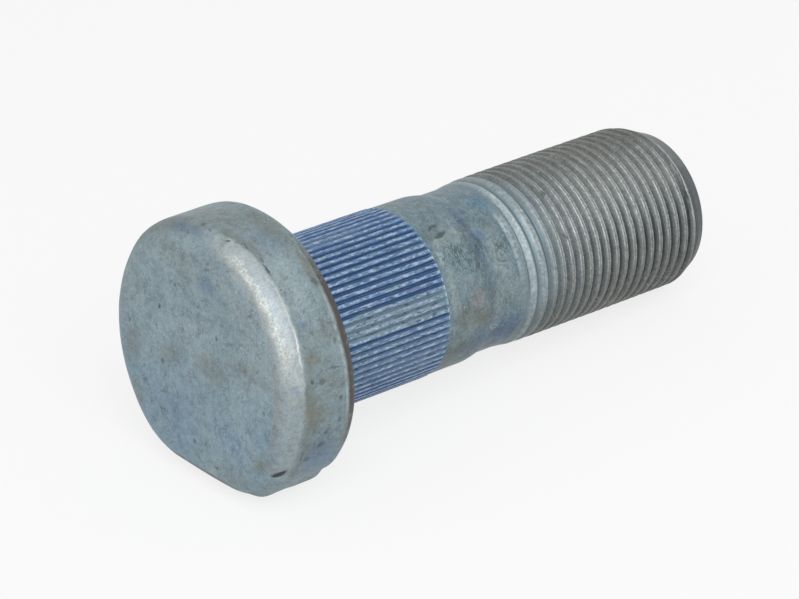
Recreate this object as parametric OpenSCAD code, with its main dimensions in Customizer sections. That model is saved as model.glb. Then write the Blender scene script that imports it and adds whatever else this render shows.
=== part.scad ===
// Press-in wheel bolt: a forged head with one flat, a straight knurl that
// grips the hub, a smooth shoulder and a rolled metric thread, all one piece.
// It lies on its flat and on the far end of its thread, as it comes to rest.
// The bolt is drawn upright first: its axis is Z, the thread end is up, the
// face that bears on the hub is at height 0 and the flat faces +X.

/* [Head] */
// Diameter of the head
head_d = 35.5; // [33:0.5:42]
// Thickness of the head
head_h = 10.6; // [7:0.1:14]
// Rounding of the edge round the outer face
front_round = 2.9; // [1:0.1:3.5]
// Rounding of the edge round the bearing face
back_round = 1.9; // [0.6:0.1:2.6]
// Distance from the axis to the flat that stops the bolt turning
flat_dist = 15.7; // [14.5:0.1:16.5]
// Radius that eases each end of the flat into the round rim
flat_end_round = 11; // [6:0.5:12]

/* [Knurl] */
// Diameter over the tips of the teeth
knurl_d = 22.1; // [21.9:0.1:23]
// Distance from the bearing face to the end of the teeth
knurl_l = 19.9; // [10:0.1:30]
// Number of teeth round the shank
teeth = 70; // [50:1:80]
// Depth of the grooves between the teeth
groove_depth = 0.36; // [0.2:0.02:0.5]
// Width of a tooth's flat tip, as a share of the tooth spacing
tip_share = 0.5; // [0.3:0.05:0.6]
// Width of a tooth at its foot, as a share of the tooth spacing
foot_share = 0.92; // [0.8:0.02:0.96]
// Length of the ramp at each end of a groove and of a tooth
tooth_ramp = 0.3; // [0.2:0.05:0.6]
// Plain gap between the bearing face and the first of the teeth
relief_l = 1.2; // [0.9:0.1:2]
// Fillet between the bearing face and the shank
root_fillet = 0.7; // [0.3:0.1:0.8]

/* [Shoulder and neck] */
// Diameter of the smooth shoulder past the knurl
shoulder_d = 21.86; // [21.5:0.02:22]
// Length of the shoulder up to the start of its slope
shoulder_l = 5.6; // [2:0.1:12]
// Length of the curved slope from the shoulder down to the neck
slope_l = 3.4; // [2:0.1:6]
// Diameter of the neck, the blank that the thread was rolled on
neck_d = 20.9; // [20.5:0.02:21.2]
// Plain length of the neck before the thread
neck_l = 2.3; // [1:0.1:6]

/* [Thread] */
// Diameter over the crests of the thread, 22 mm nominal
thread_d = 21.9; // [21.7:0.02:22]
// Pitch of the thread
pitch = 1.5; // [1:0.25:2]
// Turns in which the crests grow from the neck to full height
run_out_turns = 2.6; // [1.5:0.1:4]
// Length of the thread at full height
thread_l = 25.9; // [15:0.1:50]
// Length of the chamfer past the last full crest
chamfer_l = 2.8; // [1:0.1:4]
// Diameter at the end of the chamfer
chamfer_d = 19.4; // [18.6:0.1:21]
// Rounding of the edge round the end face
tip_round = 0.3; // [0.2:0.05:1]

/* [Hidden] */
$fn = 96;
steel = [0.50, 0.57, 0.60];
curve_steps = 8;
overlap = 1;
foot_sink = 0.05;

head_r = head_d / 2;
knurl_r = knurl_d / 2;
groove_r = knurl_r - groove_depth;
shoulder_r = shoulder_d / 2;
neck_r = neck_d / 2;
thread_r = thread_d / 2;

// Heights along the shank, from the bearing face
slope_start = knurl_l + shoulder_l;
neck_start = slope_start + slope_l;
run_out_start = neck_start + neck_l;
thread_start = run_out_start + run_out_turns * pitch;
thread_end = thread_start + thread_l;
chamfer_end = thread_end + chamfer_l;
end_face_r = chamfer_d / 2 - tip_round;
shank_l = chamfer_end + tip_round;

// Centre of the arc at each end of the flat, inside the rim
flat_end_x = flat_dist - flat_end_round;
flat_end_y = sqrt(pow(head_r - flat_end_round, 2) - pow(flat_end_x, 2));

// How the bolt lies: the rounded back edge of the flat and the last full
// crest touch the ground, so the axis dips towards the thread end
dip_run = thread_end + back_round;
dip_rise = flat_dist - back_round - thread_r;
lie_dip = asin(back_round / norm([dip_run, dip_rise])) + atan2(dip_rise, dip_run);
lie_height = thread_end * sin(lie_dip) + thread_r * cos(lie_dip);
lie_back = (head_h - front_round) * cos(lie_dip)
         + (flat_dist - front_round) * sin(lie_dip) + front_round;
lie_front = chamfer_end * cos(lie_dip) + end_face_r * sin(lie_dip) + tip_round;
lie_shift = (lie_back - lie_front) / 2;

// Smooth step between two radii, as points of a half wave
function wave(z0, r0, z1, r1) = [
    for (i = [0:curve_steps])
        let (t = i / curve_steps)
        [r0 + (r1 - r0) * (1 - cos(180 * t)) / 2, z0 + (z1 - z0) * t]
];

// Quarter of a circle, from pointing along the radius to pointing up
function quarter(r, z, radius) = [
    for (i = [0:curve_steps])
        let (a = 90 * i / curve_steps)
        [r + radius * cos(a), z + radius * sin(a)]
];

// Outline of the head from inner to reach, with both its edges rounded
module head_edge(inner, reach) {
    translate([inner, -head_h])
        square([reach - front_round - inner, head_h]);
    translate([inner, front_round - head_h])
        square([reach - inner, head_h - front_round - back_round]);
    translate([inner, -head_h / 2])
        square([reach - back_round - inner, head_h / 2]);
    translate([reach - front_round, front_round - head_h])
        circle(front_round);
    translate([reach - back_round, -back_round])
        circle(back_round);
}

// Rim outline that is wider than the head, apart from the ends of the flat
module flat_ends() {
    side = 2 * head_r / (head_r - flat_end_round);
    difference() {
        circle(head_r + overlap);
        polygon([
            [0, 0],
            side * [flat_end_x, flat_end_y],
            [2 * head_d, 0],
            side * [flat_end_x, -flat_end_y]
        ]);
    }
    polygon([
        [0, 0],
        [flat_end_x, flat_end_y],
        [flat_dist + overlap, flat_end_y],
        [flat_dist + overlap, -flat_end_y],
        [flat_end_x, -flat_end_y]
    ]);
    for (s = [-1, 1])
        translate([flat_end_x, s * flat_end_y]) circle(flat_end_round);
}

module head() {
    intersection() {
        rotate_extrude() head_edge(0, head_r);
        rotate([90, 0, 0])
            linear_extrude(2 * head_d, center = true) head_edge(-head_d, flat_dist);
        translate([0, 0, -head_h - overlap])
            linear_extrude(head_h + 2 * overlap) flat_ends();
    }
}

// The shank without its teeth, at the bottom of the grooves along the knurl
module shank() {
    fillet = [
        for (i = [0:curve_steps])
            let (a = 90 * i / curve_steps)
            [groove_r + root_fillet * (1 - sin(a)), root_fillet * (1 - cos(a))]
    ];
    rotate_extrude() polygon(concat(
        [[0, -head_h / 2], [groove_r + root_fillet, -head_h / 2]],
        fillet,
        [[groove_r, knurl_l - tooth_ramp], [shoulder_r, knurl_l]],
        wave(slope_start, shoulder_r, neck_start, neck_r),
        wave(run_out_start, neck_r, thread_start, thread_r),
        [[thread_r, thread_end]],
        quarter(end_face_r, chamfer_end, tip_round),
        [[0, shank_l]]
    ));
}

// Teeth of the knurl: a ring with flat tips, cut by straight V grooves, of
// which one lies over the middle of the flat
module knurl() {
    step = 360 / teeth;
    tip_half = step * tip_share / 2;
    foot_half = step * foot_share / 2;
    foot_r = groove_r - foot_sink;
    intersection() {
        rotate_extrude() polygon([
            [0, relief_l],
            [groove_r, relief_l],
            [knurl_r, relief_l + tooth_ramp],
            [knurl_r, knurl_l - tooth_ramp / 2],
            [groove_r, knurl_l],
            [0, knurl_l]
        ]);
        linear_extrude(knurl_l + overlap) polygon([
            for (i = [0:teeth - 1], c = [[foot_r, -foot_half], [knurl_r, -tip_half],
                                         [knurl_r, tip_half], [foot_r, foot_half]])
                let (turn = (i + 0.5) * step + c[1])
                c[0] * [cos(turn), sin(turn)]
        ]);
    }
}

module wheel_bolt() {
    color(steel)
        translate([lie_shift, 0, lie_height])
        rotate([0, 90 + lie_dip, 0]) {
            head();
            shank();
            knurl();
        }
}

wheel_bolt();
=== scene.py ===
import math

import bmesh
import bpy
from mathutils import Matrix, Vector, noise


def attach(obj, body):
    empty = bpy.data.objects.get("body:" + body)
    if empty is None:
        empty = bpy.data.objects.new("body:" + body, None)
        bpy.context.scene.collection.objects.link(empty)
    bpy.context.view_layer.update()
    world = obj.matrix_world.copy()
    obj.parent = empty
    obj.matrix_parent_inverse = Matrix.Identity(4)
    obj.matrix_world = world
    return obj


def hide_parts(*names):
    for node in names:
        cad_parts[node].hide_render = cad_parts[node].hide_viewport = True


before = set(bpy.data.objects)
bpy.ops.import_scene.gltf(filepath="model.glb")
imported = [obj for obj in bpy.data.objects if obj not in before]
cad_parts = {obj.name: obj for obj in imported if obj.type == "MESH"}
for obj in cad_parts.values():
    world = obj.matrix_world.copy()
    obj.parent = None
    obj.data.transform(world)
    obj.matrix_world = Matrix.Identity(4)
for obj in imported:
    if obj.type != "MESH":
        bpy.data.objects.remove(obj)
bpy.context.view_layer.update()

mm = 0.001

# Every part of the bolt is modelled upright: axis on Z, the face that bears
# on the hub at height 0, the flat of the head towards +X. It is laid down last.


def deselectAll():
    if bpy.context.object and bpy.context.object.mode != "OBJECT":
        bpy.ops.object.mode_set(mode="OBJECT")
    bpy.ops.object.select_all(action="DESELECT")


def selectOnly(*pieces):
    # the first one becomes the active object
    deselectAll()
    for piece in pieces:
        piece.select_set(True)
    bpy.context.view_layer.objects.active = pieces[0]


def editAll():
    # opens the mesh of the active object, with all of it selected
    bpy.ops.object.mode_set(mode="EDIT")
    bpy.ops.mesh.select_all(action="SELECT")


def movePoints(move, selected=False):
    # moves the points of the mesh in edit mode, or only those that are selected
    mesh = bpy.context.edit_object.data
    shell = bmesh.from_edit_mesh(mesh)
    for point in shell.verts:
        if point.select or not selected:
            move(point)
    bmesh.update_edit_mesh(mesh)


def growLoop(shape):
    # extrudes the selected loop and puts each new point where shape says
    def place(point):
        turn = math.atan2(point.co.y, point.co.x)
        radius, height = shape(turn)
        point.co = (radius * math.cos(turn), radius * math.sin(turn), height)

    bpy.ops.mesh.extrude_region_move()
    movePoints(place, selected=True)


def selectOpenLoop(height, reach):
    bpy.ops.mesh.select_mode(type="EDGE")
    bpy.ops.mesh.select_all(action="DESELECT")
    mesh = bpy.context.edit_object.data
    shell = bmesh.from_edit_mesh(mesh)
    for edge in shell.edges:
        near = all(abs(point.co.z - height) < reach for point in edge.verts)
        if near and len(edge.link_faces) < 2:
            edge.select = True
    bmesh.update_edit_mesh(mesh)


def rise(value, low, high):
    # 0 at low, 1 at high, eased at both ends
    share = min(max((value - low) / (high - low), 0), 1)
    return share * share * (3 - 2 * share)


def follow(value, points):
    # reads a line of (place, height) points, straight between them
    for (x0, y0), (x1, y1) in zip(points, points[1:]):
        if value <= x1:
            return y0 + (y1 - y0) * max(value - x0, 0) / (x1 - x0)
    return points[-1][1]


# ---- sizes

head = dict(
    radius=17.75 * mm,
    thickness=10.6 * mm,
    frontRound=2.9 * mm,
    backRound=1.9 * mm,
    flat=15.7 * mm,
    flatEndRound=11 * mm,
    backRows=7,
    rimRows=12,
    frontRows=10,
    faceRows=14,
    unevenness=0.07 * mm,
    # the head was forged a little off the shank's axis, and flares to the same side
    lean=0.13 * mm,
    flare=0.2 * mm,
    leanTurn=-60,
    # bumps and hollows of its rim: degrees round, half width, mm outwards
    backBumps=((-79, 17, 0.26), (-45.5, 5, -0.27), (-38.5, 4, 0.22), (-155, 10, 0.16)),
    frontBumps=((-32, 17, -0.26), (-35, 4.5, 0.42), (135, 13, 0.12), (106, 10, -0.08)),
)

knurl = dict(
    tipRadius=11.05 * mm,
    grooveRadius=10.69 * mm,
    length=19.9 * mm,
    teeth=70,
    ramp=0.3 * mm,
    relief=1.2 * mm,
    rootFillet=0.7 * mm,
    filletRows=4,
    rows=26,
    # the six columns of a tooth, in degrees from the middle of a groove
    slots=(-0.2, 0.2, 1.12, 1.40, 3.74, 4.02),
    upset=0.025 * mm,
    drift=1.0,  # degrees that the teeth run ahead on the upper side
)

shoulder = dict(
    radius=10.93 * mm,
    length=5.6 * mm,
    slope=3.4 * mm,
    neckRadius=10.45 * mm,
    neckEnd=31.0 * mm,
    rowStep=0.45 * mm,
    unevenness=0.035 * mm,
)

thread = dict(
    pitch=1.5 * mm,
    radius=10.95 * mm,
    depth=0.61 * mm,
    start=31.2 * mm,
    end=61.0 * mm,
    firstGroove=39.72 * mm,  # where a groove crosses the side turned by facing degrees
    facing=69.3,
    columns=140,
    # the ridges stretch where the rolling dies ran out
    stretchBelow=36.8 * mm,
    stretch=1.27,
    fullDepthAfter=6.5 * mm,
    chamfer=2.8 * mm,
    chamferRows=5,
    tipRadius=9.7 * mm,
    tipRound=0.3 * mm,
    tipRows=4,
    # the end was cut a little off the axis: how far, and towards which turn
    lean=0.34 * mm,
    leanTurn=-30,
    nicks=0.06 * mm,
    steelFrom=41 * mm,  # the blue of the neck has worn off by here
    # from the middle of a groove, mm along the axis: share of the full height
    profile=(
        (0.08, 0.0), (0.17, 0.07), (0.47, 0.93), (0.53, 0.99), (0.63, 1.0),
        (0.75, 0.94), (0.87, 1.0), (0.97, 0.99), (1.03, 0.93), (1.33, 0.07),
        (1.42, 0.0), (1.58, 0.0),
    ),
    # mm from the bearing face: radius over the crests
    crests=(
        (31.0, 10.45), (31.6, 10.46), (32.4, 10.55), (33.3, 10.66), (34.1, 10.77),
        (35.0, 10.82), (36.0, 10.855), (38.0, 10.88), (42.0, 10.90), (48.0, 10.94),
        (54.0, 10.95), (61.0, 10.95),
    ),
)


# ---- head

def rimRadius(turn, inset):
    # outline of the head: a round rim, a flat, and an eased corner at each of its ends
    ease = head["flatEndRound"] - inset
    sideX = head["flat"] - head["flatEndRound"]
    sideY = math.sqrt((head["radius"] - head["flatEndRound"]) ** 2 - sideX ** 2)
    turn = abs(turn)
    if turn > math.atan2(sideY, sideX):
        return head["radius"] - inset
    if turn < math.atan2(sideY, head["flat"] - inset):
        return (head["flat"] - inset) / math.cos(turn)
    along = sideX * math.cos(turn) + sideY * math.sin(turn)
    across = sideX * math.sin(turn) - sideY * math.cos(turn)
    return along + math.sqrt(ease * ease - across * across)


def toothDrift(turn):
    fromTop = (turn + 360) % 360 - 180
    return knurl["drift"] * rise(fromTop, 85, 20) * rise(fromTop, -90, -20)


def startFootLoop(name):
    # the loop where the shank meets the head, with a column for each corner of each tooth
    slots = knurl["slots"]
    columns = knurl["teeth"] * len(slots)
    foot = knurl["grooveRadius"] + knurl["rootFillet"]

    def place(point):
        column = round(math.atan2(point.co.y, point.co.x) / (2 * math.pi) * columns) % columns
        tooth, slot = divmod(column, len(slots))
        turn = tooth * 360 / knurl["teeth"] + slots[slot]
        turn = math.radians(turn + toothDrift(turn))
        point.co.xy = Vector((math.cos(turn), math.sin(turn))) * foot

    deselectAll()
    bpy.ops.mesh.primitive_circle_add(vertices=columns, radius=foot)
    piece = bpy.context.object
    piece.name = piece.data.name = name
    editAll()
    movePoints(place)
    return piece


def makeHead():
    piece = startFootLoop("bolt_head")
    back, front = head["backRound"], head["frontRound"]
    for share in (0.85, 0.98, 1):
        growLoop(lambda turn: (rimRadius(turn, back) * share, 0))
    for step in range(1, head["backRows"] + 1):
        a = math.pi / 2 * step / head["backRows"]
        growLoop(lambda turn: (
            rimRadius(turn, back * (1 - math.sin(a))), -back * (1 - math.cos(a))))
    rimEnd = head["thickness"] - front
    for step in range(1, head["rimRows"] + 1):
        z = back + (rimEnd - back) * step / head["rimRows"]
        growLoop(lambda turn: (rimRadius(turn, 0), -z))
    for step in range(1, head["frontRows"] + 1):
        a = math.pi / 2 * step / head["frontRows"]
        growLoop(lambda turn: (
            rimRadius(turn, front * (1 - math.cos(a))), -rimEnd - front * math.sin(a)))
    for step in range(1, head["faceRows"]):
        share = 1 - step / head["faceRows"]
        growLoop(lambda turn: (rimRadius(turn, front) * share, -head["thickness"]))
    bpy.ops.mesh.edge_face_add()
    deselectAll()
    return piece


# ---- knurl, shoulder and neck

def toothShare(turn):
    # height of a tooth at this turn, as a share of the groove's depth
    step = 360 / knurl["teeth"]
    degrees = math.degrees(turn)
    offset = (degrees - toothDrift(degrees) + 0.5) % step - 0.5
    low, high = knurl["slots"][2:4]
    return follow(offset, (
        (0.2, 0), (low, 0.9), (high, 1), (step - high, 1), (step - low, 0.9), (step - 0.2, 0)))


def makeKnurlAndNeck():
    piece = startFootLoop("bolt_shank")
    groove, fillet = knurl["grooveRadius"], knurl["rootFillet"]
    for i in range(1, knurl["filletRows"] + 1):
        a = math.radians(90 * i / knurl["filletRows"])
        growLoop(lambda turn: (groove + fillet * (1 - math.sin(a)), fillet * (1 - math.cos(a))))
    growLoop(lambda turn: (groove, knurl["relief"]))
    height = knurl["tipRadius"] - groove
    firstRow, lastRow = knurl["relief"] + knurl["ramp"], knurl["length"] - knurl["ramp"]
    for i in range(knurl["rows"] + 1):
        z = firstRow + (lastRow - firstRow) * i / knurl["rows"]
        growLoop(lambda turn: (groove + height * toothShare(turn), z))
    growLoop(lambda turn: (
        max(groove + height * toothShare(turn), (groove + shoulder["radius"]) / 2),
        knurl["length"] - knurl["ramp"] / 2))
    growLoop(lambda turn: (shoulder["radius"], knurl["length"]))
    slopeStart = knurl["length"] + shoulder["length"]
    drop = shoulder["radius"] - shoulder["neckRadius"]
    z = knurl["length"]
    while z < shoulder["neckEnd"] - 1.5 * shoulder["rowStep"]:
        z += shoulder["rowStep"]
        radius = shoulder["radius"] - drop * rise(z, slopeStart, slopeStart + shoulder["slope"])
        growLoop(lambda turn: (radius, z))
    deselectAll()
    return piece


# ---- thread

def endLean(turn):
    return thread["lean"] * math.cos(turn - math.radians(thread["leanTurn"]))


def chamferRadius(z, turn):
    slope = (thread["radius"] - thread["tipRadius"]) / thread["chamfer"]
    return thread["radius"] - slope * (z - thread["end"]) + endLean(turn)


def stretchStart(point):
    point.co.z -= (thread["stretch"] - 1) * max(thread["stretchBelow"] - point.co.z, 0)


def cutThread(point):
    # the crests grow out of the neck while the grooves sink, and the chamfer cuts both
    z, radius = point.co.z, point.co.xy.length
    share = (radius - thread["radius"] + thread["depth"]) / thread["depth"]
    # the first ridges are broad, with narrow grooves between them
    share = max(share, 0) ** (0.55 + 0.45 * rise(z, 34.5 * mm, 37.5 * mm))
    crest = follow(z / mm, thread["crests"]) * mm
    depth = thread["depth"] * rise(z, thread["start"], thread["start"] + thread["fullDepthAfter"])
    chamfer = chamferRadius(z, math.atan2(point.co.y, point.co.x))
    point.co.xy *= min(crest - depth * (1 - share), chamfer) / radius


def makeThread():
    deselectAll()
    bpy.ops.mesh.primitive_plane_add(size=1 * mm)
    piece = bpy.context.object
    piece.name = piece.data.name = "bolt_thread"
    editAll()
    bpy.ops.mesh.merge(type="CENTER")
    pitch, root = thread["pitch"], thread["radius"] - thread["depth"]
    groove = thread["firstGroove"] - pitch * (thread["facing"] + 180) / 360
    low = groove - pitch * math.ceil((groove - thread["start"]) / pitch + 2)
    spots = [Vector((root + thread["depth"] * share, 0, low + place * mm))
             for place, share in thread["profile"]]
    bpy.ops.transform.translate(value=spots[0])
    for here, there in zip(spots, spots[1:]):
        bpy.ops.mesh.extrude_vertices_move(TRANSFORM_OT_translate={"value": there - here})
    bpy.ops.object.mode_set(mode="OBJECT")
    helix = piece.modifiers.new("helix", "SCREW")
    helix.axis = "Z"
    helix.angle = 2 * math.pi
    helix.screw_offset = pitch
    helix.iterations = math.ceil((thread["end"] - low) / pitch) + 2
    helix.steps = helix.render_steps = thread["columns"]
    helix.use_normal_calculate = True
    bpy.ops.object.modifier_apply(modifier="helix")
    editAll()
    bpy.ops.mesh.remove_doubles(threshold=0.002 * mm)
    movePoints(stretchStart)
    slope = (thread["radius"] - thread["tipRadius"]) / thread["chamfer"]
    lastCut = thread["end"] + (thread["depth"] + thread["lean"]) / slope + 0.02 * mm
    # cut at the neck and inside the chamfer, and an edge where the chamfer starts
    for height, side, clear in (
            (shoulder["neckEnd"], -1, True), (lastCut, 1, True), (thread["end"], 1, False)):
        bpy.ops.mesh.select_all(action="SELECT")
        bpy.ops.mesh.bisect(
            plane_co=(0, 0, height), plane_no=(0, 0, side), clear_outer=clear, threshold=1e-8)
    movePoints(cutThread)
    # the rest of the chamfer, its rounded edge and the end face
    selectOpenLoop(lastCut, 0.01 * mm)
    chamferEnd = thread["end"] + thread["chamfer"]
    rows, tip, ease = thread["chamferRows"], thread["tipRadius"], thread["tipRound"]
    for i in range(1, rows + 1):
        z = lastCut + (chamferEnd - lastCut) * i / rows
        growLoop(lambda turn: (chamferRadius(z, turn), z))
    for i in range(1, thread["tipRows"] + 1):
        a = math.radians(90 * i / thread["tipRows"])
        growLoop(lambda turn: (
            tip + endLean(turn) - ease * (1 - math.cos(a)), chamferEnd + ease * math.sin(a)))
    for share in (0.8, 0.6, 0.4, 0.2, 0.05):
        growLoop(lambda turn: ((tip + endLean(turn) - ease) * share, chamferEnd + ease))
    bpy.ops.mesh.edge_face_add()
    deselectAll()
    return piece


# ---- the whole bolt

def joinParts(parts):
    selectOnly(*parts)
    bpy.ops.object.join()
    bpy.ops.object.mode_set(mode="EDIT")
    selectOpenLoop(0, 0.01 * mm)
    bpy.ops.mesh.remove_doubles(threshold=0.001 * mm)
    selectOpenLoop(shoulder["neckEnd"], 1.5 * shoulder["rowStep"])
    bpy.ops.mesh.bridge_edge_loops()
    bpy.ops.mesh.select_all(action="SELECT")
    bpy.ops.mesh.normals_make_consistent(inside=False)
    deselectAll()
    return parts[0]


def forgingNoise(point, size):
    return noise.noise(point / (size * mm))


def roughen(whole):
    # the hand of the forge, the knurling wheel and the thread rolls
    for vertex in whole.data.vertices:
        point = vertex.co.copy()
        radius = point.xy.length
        turn = math.atan2(point.y, point.x)
        wave = forgingNoise(point, 7) + 0.4 * forgingNoise(point + Vector((0.05, 0, 0)), 2.6)
        if point.z < -0.01 * mm:
            push = head["unevenness"] * wave
            for name, low, high in (("backBumps", 6.5, 4), ("frontBumps", 6.5, 9.6)):
                for centre, width, height in head[name]:
                    away = (math.degrees(turn) - centre + 180) % 360 - 180
                    share = math.exp(-(away / width) ** 2) * rise(-point.z, low * mm, high * mm)
                    push += height * mm * share
            beside = max(rise(abs(turn), 0.3, 0.65), 0.8 * rise(-point.z, 4 * mm, 8.5 * mm))
            toward = math.cos(turn - math.radians(head["leanTurn"])) * beside
            flare = head["flare"] * rise(-point.z, 3 * mm, 9 * mm)
            push += toward * (head["lean"] if toward < 0 else flare)
            if point.z < -head["thickness"] + 0.01 * mm:
                vertex.co.z += 0.5 * head["unevenness"] * wave * rise(radius, 16 * mm, 13 * mm)
            if radius > 11 * mm:
                vertex.co.xy *= 1 + push * rise(radius, 11 * mm, 14.5 * mm) / radius
        elif point.z < knurl["length"] and radius > 10.95 * mm and point.z > knurl["relief"]:
            streak = noise.noise(Vector((point.x, point.y, point.z * 0.45)) / (0.5 * mm))
            vertex.co.xy *= 1 + knurl["upset"] * (streak - 0.4) / radius
        elif knurl["length"] < point.z < thread["start"] + 3 * mm:
            vertex.co.xy *= 1 + shoulder["unevenness"] * wave / radius
        elif point.z >= thread["start"] + 3 * mm and radius > 10.8 * mm:
            nick = noise.noise(point / (0.9 * mm)) + 0.5 * noise.noise(point / (0.35 * mm))
            vertex.co.xy *= 1 - thread["nicks"] * max(nick - 0.1, 0) / radius


def lyingPlace():
    # the bolt rests on the back edge of its flat and on its last full crest
    run = thread["end"] + head["backRound"]
    drop = head["flat"] - head["backRound"] - thread["radius"]
    dip = math.asin(head["backRound"] / math.hypot(run, drop)) + math.atan2(drop, run)
    height = thread["end"] * math.sin(dip) + thread["radius"] * math.cos(dip)
    back = ((head["thickness"] - head["frontRound"]) * math.cos(dip)
            + (head["flat"] - head["frontRound"]) * math.sin(dip) + head["frontRound"])
    front = ((thread["end"] + thread["chamfer"]) * math.cos(dip)
             + (thread["tipRadius"] - thread["tipRound"]) * math.sin(dip) + thread["tipRound"])
    return dip, Vector(((back - front) / 2, 0, height))


def layDown(whole, dip, middle):
    whole.rotation_euler = (0, math.pi / 2 + dip, 0)
    whole.location = middle
    selectOnly(whole)
    bpy.ops.object.transform_apply(location=True, rotation=True, scale=True)


bolt = joinParts([makeHead(), makeKnurlAndNeck(), makeThread()])
bolt.name = bolt.data.name = "zinc_wheel_bolt"
print("bolt modelled:", len(bolt.data.polygons), "faces")
roughen(bolt)


# ---- shared looks

def link(value, socket):
    # puts another node's output or a plain value into this input
    if isinstance(value, bpy.types.NodeSocket):
        value.id_data.links.new(value, socket)
    else:
        socket.default_value = value


def node(kind, inputs, tree=None, **settings):
    # a node goes into the tree of the first output that it reads
    if tree is None:
        tree = next(value.id_data for value in inputs.values()
                    if isinstance(value, bpy.types.NodeSocket))
    made = tree.nodes.new("ShaderNode" + kind)
    for name, value in settings.items():
        setattr(made, name, value)
    for socket, value in inputs.items():
        link(value, made.inputs[socket])
    return made.outputs


def calc(operation, *values):
    return node("Math", dict(enumerate(values)), operation=operation)[0]


def plus(value, other):
    return calc("ADD", value, other)


def minus(value, other):
    return calc("SUBTRACT", value, other)


def most(value, other):
    return calc("MAXIMUM", value, other)


def times(*values):
    total = values[0]
    for value in values[1:]:
        total = calc("MULTIPLY", total, value)
    return total


def scaled(value, factor, shift):
    return calc("MULTIPLY_ADD", value, factor, shift)


def ease(value, low, high, bottom=0.0, top=1.0):
    # smooth step from bottom at low to top at high
    inputs = {"Value": value, "From Min": low, "From Max": high, "To Min": bottom, "To Max": top}
    return node("MapRange", inputs, interpolation_type="SMOOTHSTEP")[0]


def band(value, low, high, soft):
    # 1 between low and high, fading over soft on both sides
    return times(ease(value, low - soft, low + soft), ease(value, high + soft, high - soft))


def ink(paint):
    # a colour in screen values, 0-255, becomes the linear one that a shader takes
    if isinstance(paint, bpy.types.NodeSocket):
        return paint
    return [(value / 255 / 12.92 if value < 10.3 else ((value / 255 + 0.055) / 1.055) ** 2.4)
            for value in paint] + [1]


def blend(share, under, upper, way="MIX"):
    inputs = {0: share, 6: ink(under), 7: ink(upper)}
    return node("Mix", inputs, data_type="RGBA", blend_type=way)[2]


origin = (0, 0, 0)


def newGroup(name, inputs, outputs):
    # each input and output is named with its first value, a number or a place
    tree = bpy.data.node_groups.new(name, "ShaderNodeTree")
    for way, sockets in (("INPUT", inputs), ("OUTPUT", outputs)):
        for socket, value in sockets.items():
            kind = "NodeSocketVector" if value == origin else "NodeSocketFloat"
            made = tree.interface.new_socket(name=socket, in_out=way, socket_type=kind)
            made.default_value = value
    return tree, tree.nodes.new("NodeGroupInput").outputs, tree.nodes.new("NodeGroupOutput").inputs


def useGroup(group, inputs):
    return node("Group", inputs, node_tree=group)


def noisePlace(given):
    # the place that a noise reads, moved by its seed
    shift = node("CombineXYZ", {0: given["Seed"]})[0]
    return node("VectorMath", {0: given["Position"], 1: shift}, operation="ADD")[0]


def makeBoltPlace():
    # where a point is on the bolt: mm along the axis, mm from it, degrees round it
    tree, given, result = newGroup(
        "place on the bolt", {"Position": origin},
        {"Along": 0.0, "Radius": 0.0, "Turn": 0.0, "Side": 0.0, "Up": 0.0})
    parts = node("SeparateXYZ", {0: given["Position"]})
    side, up = times(parts["Y"], -1.0), parts["Z"]
    link(parts["X"], result["Along"])
    link(calc("SQRT", scaled(side, side, times(up, up))), result["Radius"])
    link(calc("DEGREES", calc("ARCTAN2", side, up)), result["Turn"])
    link(side, result["Side"])
    link(up, result["Up"])
    return tree


def makeMottle():
    # cloudy patches: 0 between them, 1 inside
    tree, given, result = newGroup(
        "mottle", {"Position": origin, "Size": 1.0, "Detail": 3.0, "Low": 0.4, "High": 0.6,
                   "Seed": 0.0}, {"Mask": 0.0})
    cloud = node("TexNoise", {
        "Vector": noisePlace(given), "Scale": calc("DIVIDE", 1.0, given["Size"]),
        "Detail": given["Detail"]})["Fac"]
    link(ease(cloud, given["Low"], given["High"]), result["Mask"])
    return tree


def makeHairlines():
    # thin curly lines, as in a crazed coating: 1 on a line
    tree, given, result = newGroup(
        "hairlines", {"Position": origin, "Size": 1.0, "Width": 0.03, "Seed": 0.0, "Curl": 1.0},
        {"Mask": 0.0})
    cloud = node("TexNoise", {
        "Vector": noisePlace(given), "Scale": calc("DIVIDE", 1.0, given["Size"]),
        "Detail": 1.5, "Distortion": given["Curl"]})["Fac"]
    off = calc("ABSOLUTE", minus(cloud, 0.5))
    link(ease(off, given["Width"], times(given["Width"], 0.3)), result["Mask"])
    return tree


def makeSpot():
    # one oval mark: Place and Centre in mm, Size its half length and half width
    tree, given, result = newGroup(
        "oval mark", {"Place": origin, "Centre": origin, "Size": origin, "Tilt": origin, "Soft": 0.3},
        {"Mask": 0.0})
    inputs = {"Vector": given["Place"], "Location": given["Centre"],
              "Rotation": given["Tilt"], "Scale": given["Size"]}
    local = node("Mapping", inputs, vector_type="TEXTURE")[0]
    reach = node("VectorMath", {0: local}, operation="LENGTH")["Value"]
    link(ease(reach, plus(1.0, given["Soft"]), minus(1.0, given["Soft"])), result["Mask"])
    return tree


def makeRagged():
    # shifts a flat place by fine noise, so that marks drawn on it get ragged edges
    tree, given, result = newGroup(
        "ragged place", {"Across": 0.0, "Down": 0.0, "Position": origin, "Size": 1.0,
                         "Amount": 0.5}, {"Place": origin})
    cloud = node("TexNoise", {
        "Vector": given["Position"], "Scale": calc("DIVIDE", 1.0, given["Size"]),
        "Detail": 3.0})["Color"]
    parts = node("SeparateColor", {0: cloud})
    places = {i: scaled(minus(parts[i], 0.5), given["Amount"], given[axis])
              for i, axis in enumerate(("Across", "Down"))}
    link(node("CombineXYZ", places)[0], result["Place"])
    return tree


boltPlace = makeBoltPlace()
mottle = makeMottle()
hairlines = makeHairlines()
ovalMark = makeSpot()
raggedPlace = makeRagged()


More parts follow.
